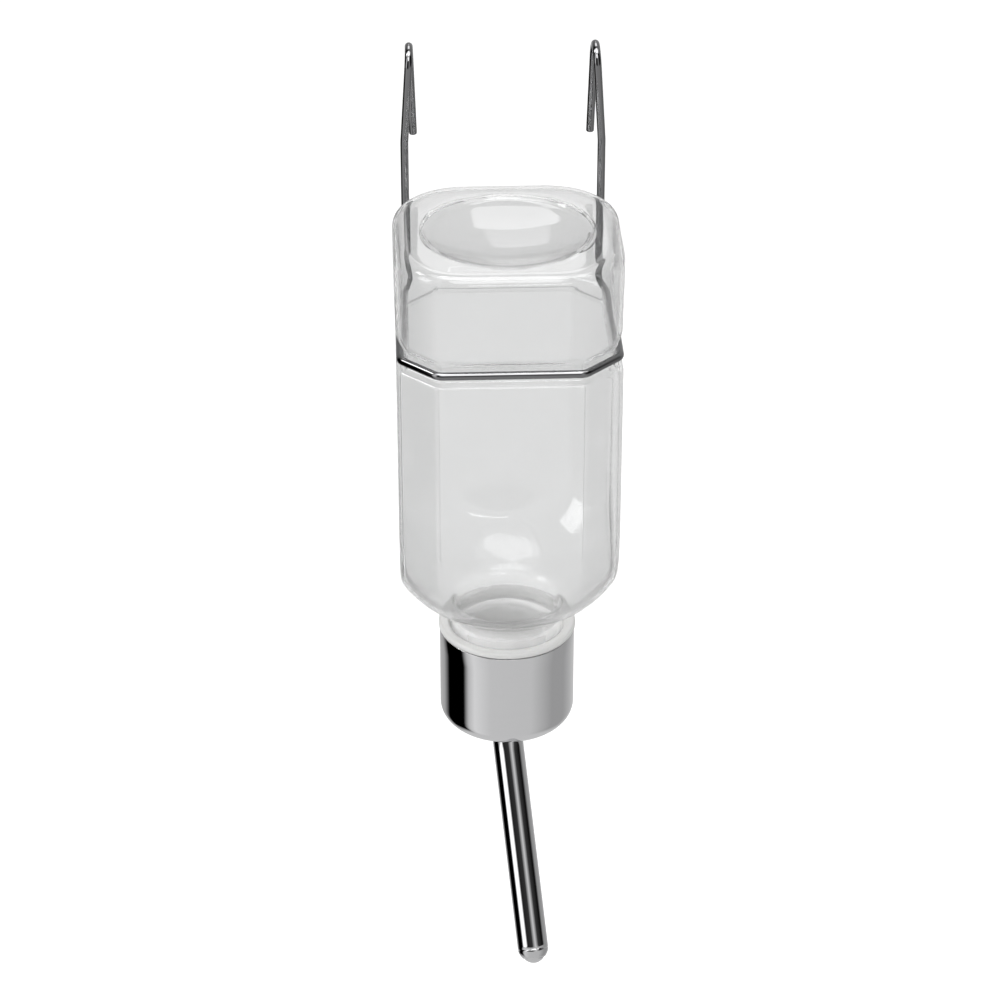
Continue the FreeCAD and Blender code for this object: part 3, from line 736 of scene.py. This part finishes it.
def blended(tree, share, first, second):
    """Mix of two colours; each is a grey number or the output of another node."""
    item = tree.nodes.new("ShaderNodeMix")
    item.data_type = "RGBA"
    tree.links.new(share, item.inputs["Factor"])
    for name, given in (("A", first), ("B", second)):
        if isinstance(given, bpy.types.NodeSocket):
            tree.links.new(given, item.inputs[name])
        else:
            item.inputs[name].default_value = (given, given, given, 1)
    return item.outputs["Result"]


def stepped(tree, source, low, high):
    """0 to 1 as the source goes from low to high."""
    item = tree.nodes.new("ShaderNodeMapRange")
    item.inputs["From Min"].default_value = low
    item.inputs["From Max"].default_value = high
    tree.links.new(source, item.inputs["Value"])
    return item.outputs["Result"]


def noise(tree, scale, detail=2.0, stretch=(1, 1, 1)):
    """Noise of the given scale per metre, in the object's own space."""
    place = tree.nodes.new("ShaderNodeTexCoord")
    mapping = tree.nodes.new("ShaderNodeMapping")
    mapping.inputs["Scale"].default_value = stretch
    tree.links.new(place.outputs["Object"], mapping.inputs["Vector"])
    texture = tree.nodes.new("ShaderNodeTexNoise")
    texture.inputs["Scale"].default_value = scale
    texture.inputs["Detail"].default_value = detail
    tree.links.new(mapping.outputs[0], texture.inputs["Vector"])
    return texture.outputs["Fac"]


def ranged(tree, source, low, high):
    """Source of 0 to 1 spread from low to high."""
    spread = tree.nodes.new("ShaderNodeMapRange")
    spread.inputs["To Min"].default_value = low
    spread.inputs["To Max"].default_value = high
    tree.links.new(source, spread.inputs["Value"])
    return spread.outputs["Result"]


def bumped(tree, shader, source, strength, distance):
    """Fine relief from the source, its height in metres."""
    bump = tree.nodes.new("ShaderNodeBump")
    bump.inputs["Strength"].default_value = strength
    bump.inputs["Distance"].default_value = distance
    tree.links.new(source, bump.inputs["Height"])
    tree.links.new(bump.outputs["Normal"], shader.inputs["Normal"])


def varied(tree, colour, contrast, source):
    """Colour that varies by contrast with the source."""
    mix = tree.nodes.new("ShaderNodeMix")
    mix.data_type = "RGBA"
    mix.inputs["A"].default_value = (*[c * (1 - contrast) for c in colour], 1)
    mix.inputs["B"].default_value = (*[min(c * (1 + contrast), 1) for c in colour], 1)
    tree.links.new(source, mix.inputs["Factor"])
    return mix.outputs["Result"]


BODY_TINT = (0.797, 0.8, 0.8)
EDGE_TINT = 0.66
# lighter tint of the base's top face: painted light
CROWN_PAINTED_LIGHT_TINT = 0.87
# lighter, partly milky neck plastic: painted light for the shaded inside of the neck
NECK_PAINTED_LIGHT_TINT = 0.97
NECK_CLEARNESS = 0.72
NECK_FADE_BELOW = 0.004
NECK_FADE_ABOVE = 0.001
CROWN_FADE_START = 0.0012
CROWN_FADE_END = 0.0002
FAINT_CONTRAST = 0.01
PLASTIC_IOR = 1.08
GLOSS_IOR = 1.5
GLOSS_ROUGHNESS = 0.05
RIM_POWER = 5.0
RIM_SHARE = 0.9
RIM_TINT = 0.97


def clear_plastic():
    """Blown clear plastic, a little greyer where it is seen at a slant."""
    material, tree, shader = blank_material("clear_blown_plastic")
    waves = noise(tree, 55.0, 1.0)
    weight = tree.nodes.new("ShaderNodeLayerWeight")
    tint = varied(tree, BODY_TINT, FAINT_CONTRAST, waves)
    tint = blended(tree, weight.outputs["Facing"], tint, EDGE_TINT)
    place = tree.nodes.new("ShaderNodeTexCoord")
    split = tree.nodes.new("ShaderNodeSeparateXYZ")
    tree.links.new(place.outputs["Object"], split.inputs[0])
    height = split.outputs[2]
    # The neck is tinted lighter and made partly milky: painted light that brightens the shaded
    # inside of the neck and cap.
    foot = (MOUTH + NECK_LENGTH) * MM
    neck = stepped(tree, height, foot - NECK_FADE_BELOW, foot + NECK_FADE_ABOVE)
    # The top face of the base is tinted lighter than the body: painted light standing in for
    # light from above.
    top = (MOUTH + BOTTLE_HEIGHT) * MM
    crown = stepped(tree, height, top - CROWN_FADE_START, top - CROWN_FADE_END)
    tint = blended(tree, crown, tint, CROWN_PAINTED_LIGHT_TINT)
    tree.links.new(blended(tree, neck, NECK_PAINTED_LIGHT_TINT, tint), shader.inputs["Base Color"])
    clearness = ranged(tree, neck, NECK_CLEARNESS, 1.0)
    tree.links.new(clearness, shader.inputs["Transmission Weight"])
    shader.inputs["IOR"].default_value = PLASTIC_IOR
    shader.inputs["Coat Weight"].default_value = 1.0
    shader.inputs["Coat IOR"].default_value = GLOSS_IOR
    shader.inputs["Coat Roughness"].default_value = GLOSS_ROUGHNESS
    tree.links.new(ranged(tree, noise(tree, 140.0), 0.0, 0.02), shader.inputs["Roughness"])

    # lamps shine through the walls, and the outline stays light
    output = next(node for node in tree.nodes if node.type == "OUTPUT_MATERIAL")
    path = tree.nodes.new("ShaderNodeLightPath")
    rim = calculated(tree, "POWER", weight.outputs["Facing"], RIM_POWER)
    rim = calculated(tree, "MULTIPLY", rim, RIM_SHARE)
    clear = tree.nodes.new("ShaderNodeBsdfTransparent")
    clear.inputs["Color"].default_value = (RIM_TINT, RIM_TINT, RIM_TINT, 1)
    mix = tree.nodes.new("ShaderNodeMixShader")
    share = calculated(tree, "MAXIMUM", path.outputs["Is Shadow Ray"], rim)
    tree.links.new(share, mix.inputs[0])
    tree.links.new(shader.outputs[0], mix.inputs[1])
    tree.links.new(clear.outputs[0], mix.inputs[2])
    tree.links.new(mix.outputs[0], output.inputs["Surface"])
    return material


# colour, lowest and highest roughness, grain per metre, its stretch, relief's strength
METALS = {
    "plated_wire": ((0.26, 0.26, 0.265), 0.05, 0.09, 400.0, (1, 1, 1), 0.005),
    "drawn_bright_metal": ((0.83, 0.83, 0.84), 0.045, 0.055, 90.0, (1, 1, 14), 0.005),
    "drawn_steel_tube": ((0.72, 0.72, 0.73), 0.03, 0.06, 300.0, (1, 1, 1), 0.05),
    "polished_ball": ((0.75, 0.75, 0.76), 0.05, 0.09, 300.0, (1, 1, 1), 0.02),
}
METAL_RELIEF = 0.00005


def metal(name):
    """Bright metal whose roughness follows a fine grain."""
    colour, low, high, grain, stretch, bump = METALS[name]
    material, tree, shader = blank_material(name)
    shader.inputs["Metallic"].default_value = 1.0
    texture = noise(tree, grain, 4.0, stretch)
    tree.links.new(varied(tree, colour, FAINT_CONTRAST, texture), shader.inputs["Base Color"])
    tree.links.new(ranged(tree, texture, low, high), shader.inputs["Roughness"])
    bumped(tree, shader, texture, bump, METAL_RELIEF)
    return material


WHITE_COLOUR = (0.69, 0.69, 0.68)
RUBBER_COLOUR = (0.84, 0.83, 0.8)
RUBBER_CONTRAST = 0.05
RUBBER_RELIEF = 0.0001


def white_plastic():
    """Moulded white plastic with a faint warm cast and a soft gloss."""
    material, tree, shader = blank_material("moulded_white_plastic")
    texture = noise(tree, 120.0, 2.0)
    white = varied(tree, WHITE_COLOUR, FAINT_CONTRAST, texture)
    tree.links.new(white, shader.inputs["Base Color"])
    tree.links.new(ranged(tree, texture, 0.27, 0.31), shader.inputs["Roughness"])
    return material


def seal_rubber():
    """Pale matt rubber."""
    material, tree, shader = blank_material("pale_rubber")
    texture = noise(tree, 1500.0, 4.0)
    pale = varied(tree, RUBBER_COLOUR, RUBBER_CONTRAST, texture)
    tree.links.new(pale, shader.inputs["Base Color"])
    tree.links.new(ranged(tree, texture, 0.6, 0.8), shader.inputs["Roughness"])
    bumped(tree, shader, texture, 0.15, RUBBER_RELIEF)
    return material


# ---------------------------------------------------------------- the object
def dress(piece, body, node, material):
    """Put a piece on its body in place of its CAD node."""
    piece.data.materials.append(material)
    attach(piece, body)
    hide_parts(node)


dress(make_bottle(), "bottle", "bottle", clear_plastic())
dress(make_hanger(), "bottle", "hanger_wire", metal("plated_wire"))
dress(make_shell(), "cap", "cap_shell", metal("drawn_bright_metal"))
dress(make_liner(), "cap", "cap_liner", white_plastic())
dress(make_seal(), "seal", "seal_washer", seal_rubber())
dress(make_tube(), "cap", "drinking_tube", metal("drawn_steel_tube"))
dress(make_ball(), "ball", "ball", metal("polished_ball"))


# ---------------------------------------------------------------- studio
FLOOR_DROP = 0.15
FLOOR_SIZE = 9.0
FLOOR_GREY = 0.8
FLOOR_GLOW = 0.43


def make_floor():
    """Pale floor well below the hanging bottle."""
    low = cad_box[0][2] - FLOOR_DROP
    mesh = bpy.data.meshes.new("floor")
    reach = FLOOR_SIZE / 2
    corners = [(-reach, -reach, low), (reach, -reach, low), (reach, reach, low),
               (-reach, reach, low)]
    mesh.from_pydata(corners, [], [(0, 1, 2, 3)])
    floor = bpy.data.objects.new("floor", mesh)
    bpy.context.collection.objects.link(floor)
    floor.visible_glossy = False
    material = bpy.data.materials.new("pale_floor")
    material.use_nodes = True
    tree = material.node_tree
    tree.nodes.clear()
    output = tree.nodes.new("ShaderNodeOutputMaterial")
    diffuse = tree.nodes.new("ShaderNodeBsdfDiffuse")
    diffuse.inputs["Color"].default_value = (FLOOR_GREY, FLOOR_GREY, FLOOR_GREY, 1)
    path = tree.nodes.new("ShaderNodeLightPath")
    seen = calculated(tree, "MAXIMUM", path.outputs["Is Camera Ray"],
                      path.outputs["Is Transmission Ray"])
    emission = tree.nodes.new("ShaderNodeEmission")
    tree.links.new(calculated(tree, "MULTIPLY", seen, FLOOR_GLOW), emission.inputs["Strength"])
    both = tree.nodes.new("ShaderNodeAddShader")
    tree.links.new(diffuse.outputs[0], both.inputs[0])
    tree.links.new(emission.outputs[0], both.inputs[1])
    tree.links.new(both.outputs[0], output.inputs["Surface"])
    mesh.materials.append(material)


# grey of the studio as shiny surfaces see it, by angle round the object: degrees from
# the front, positive to the right, for directions below and above the horizon
LOW_BANDS = ((-180, 0.55), (-140, 0.4), (-122, 0.0), (-82, 0.0), (-72, 0.55), (-60, 0.75),
             (-30, 0.6), (40, 0.58), (82, 0.36), (112, 0.36), (150, 0.55))
HIGH_BANDS = ((-180, 0.4), (-140, 0.3), (-122, 0.0), (-82, 0.0), (-76, 1.6), (-54, 1.6),
              (-44, 0.02), (-4, 0.04), (22, 0.75), (46, 0.05), (84, 0.0), (110, 0.45),
              (150, 0.5))
HORIZON_HALF = 0.06
FLOOR_SEEN = 0.6
FLOOR_SEEN_FROM = -0.72
FLOOR_SEEN_FULL = -0.86
SOFT_LIGHT = 0.55
# panels overhead: sideways and front-to-back slants they fill, and their glow
CEILING_PANELS = (((-0.33, 0.27), (0.46, 1.07), 3.2), ((-0.25, 0.2), (1.07, 2.2), 1.4),
                  ((-0.75, 0.7), (-0.3, 0.12), 2.5), ((-0.5, 0.25), (-1.1, -0.55), 4.0),
                  ((-1.5, -0.95), (0.02, 0.3), 8.0))
PANEL_EDGE = 0.04
PANEL_HEIGHT_FROM = 0.1
PANEL_HEIGHT_FULL = 0.2


def band_ramp(tree, bands, source):
    """Grey by angle, from -180 to 180 degrees."""
    ramp = tree.nodes.new("ShaderNodeValToRGB")
    stops = ramp.color_ramp.elements
    while len(stops) > 1:
        stops.remove(stops[-1])
    for index, (angle, grey) in enumerate(bands):
        place = (angle + 180) / 360
        stop = stops[0] if index == 0 else stops.new(place)
        stop.position = place
        stop.color = (grey, grey, grey, 1)
    tree.links.new(source, ramp.inputs["Fac"])
    return ramp.outputs["Color"]


def make_world():
    """White where seen directly; for shiny surfaces, panels round and over the object."""
    world = bpy.data.worlds.new("studio")
    bpy.context.scene.world = world
    world.use_nodes = True
    tree = world.node_tree
    tree.nodes.clear()
    place = tree.nodes.new("ShaderNodeTexCoord")
    split = tree.nodes.new("ShaderNodeSeparateXYZ")
    tree.links.new(place.outputs["Generated"], split.inputs[0])
    x, y, z = split.outputs
    angle = calculated(tree, "ARCTAN2", x, calculated(tree, "MULTIPLY", y, -1.0))
    share = stepped(tree, angle, -math.pi, math.pi)
    low = band_ramp(tree, LOW_BANDS, share)
    high = band_ramp(tree, HIGH_BANDS, share)
    bands = blended(tree, stepped(tree, z, -HORIZON_HALF, HORIZON_HALF), low, high)
    floor = stepped(tree, z, FLOOR_SEEN_FROM, FLOOR_SEEN_FULL)
    bands = blended(tree, floor, bands, FLOOR_SEEN)
    height = calculated(tree, "MAXIMUM", z, 0.01)
    slants = [calculated(tree, "DIVIDE", way, height) for way in (x, y)]
    for *ranges, glow in CEILING_PANELS:
        panel = stepped(tree, z, PANEL_HEIGHT_FROM, PANEL_HEIGHT_FULL)
        for slant, (begin, end) in zip(slants, ranges):
            for outside, inside in ((begin - PANEL_EDGE, begin), (end + PANEL_EDGE, end)):
                within = stepped(tree, slant, outside, inside)
                panel = calculated(tree, "MULTIPLY", panel, within)
        bands = blended(tree, panel, bands, glow)
    path = tree.nodes.new("ShaderNodeLightPath")
    seen = calculated(tree, "MAXIMUM", path.outputs["Is Camera Ray"],
                      path.outputs["Is Transmission Ray"])
    soft = blended(tree, path.outputs["Is Glossy Ray"], SOFT_LIGHT, bands)
    background = tree.nodes.new("ShaderNodeBackground")
    tree.links.new(blended(tree, seen, soft, 1.0), background.inputs["Color"])
    output = tree.nodes.new("ShaderNodeOutputWorld")
    tree.links.new(background.outputs[0], output.inputs["Surface"])


# name, shape, place, size, power, whether shiny surfaces mirror it
LAMPS = (("key_softbox", "RECTANGLE", (-2.0, -0.5, 0.7), (0.75, 1.2), 16.0, False),
         ("front_strip", "RECTANGLE", (0.5, -1.9, 0.97), (1.2, 0.3), 9.0, False),
         ("top_softbox", "ELLIPSE", (-0.15, -0.39, 2.2), (2.0, 1.2), 18.0, True))
MIDDLE = (AXIS_X * MM, AXIS_Y * MM, -0.1)


def area_light(name, shape, place, size, power, mirrored):
    """Area lamp aimed at the middle of the bottle."""
    data = bpy.data.lights.new(name, "AREA")
    data.shape = shape
    data.size, data.size_y = size
    data.energy = power
    lamp = bpy.data.objects.new(name, data)
    lamp.visible_glossy = mirrored
    bpy.context.collection.objects.link(lamp)
    lamp.location = place
    aim = Vector(MIDDLE) - Vector(place)
    lamp.rotation_euler = aim.to_track_quat("-Z", "Y").to_euler()


make_floor()
make_world()
for lamp_values in LAMPS:
    area_light(*lamp_values)

# ---------------------------------------------------------------- camera
FOCAL_PIXELS = 3200.0
FRAME_PIXELS = 1000.0
SENSOR = 36.0
CAMERA_DISTANCE = 0.8112
CAMERA_RISE = math.radians(29.62)
CAMERA_AZIMUTH = math.radians(-2.3)
AIM_ASIDE = -0.0018
AIM_OVER_RIM = 0.037
CLIP_START = 0.01


def make_camera():
    """Camera at the photograph's angle, aimed a little above the cap's rim."""
    data = bpy.data.cameras.new("camera")
    data.sensor_width = SENSOR
    data.lens = FOCAL_PIXELS / FRAME_PIXELS * SENSOR
    data.clip_start = CLIP_START
    camera = bpy.data.objects.new("camera", data)
    bpy.context.collection.objects.link(camera)
    away = Vector((math.sin(CAMERA_AZIMUTH) * math.cos(CAMERA_RISE),
                   -math.cos(CAMERA_AZIMUTH) * math.cos(CAMERA_RISE), math.sin(CAMERA_RISE)))
    right = Vector((math.cos(CAMERA_AZIMUTH), math.sin(CAMERA_AZIMUTH), 0))
    aim = Vector((AXIS_X * MM, AXIS_Y * MM, SHELL_RIM * MM + AIM_OVER_RIM)) + right * AIM_ASIDE
    camera.location = aim + away * CAMERA_DISTANCE
    camera.rotation_euler = (math.pi / 2 - CAMERA_RISE, 0, CAMERA_AZIMUTH)
    bpy.context.scene.camera = camera


make_camera()
bpy.context.scene.view_settings.view_transform = "Standard"
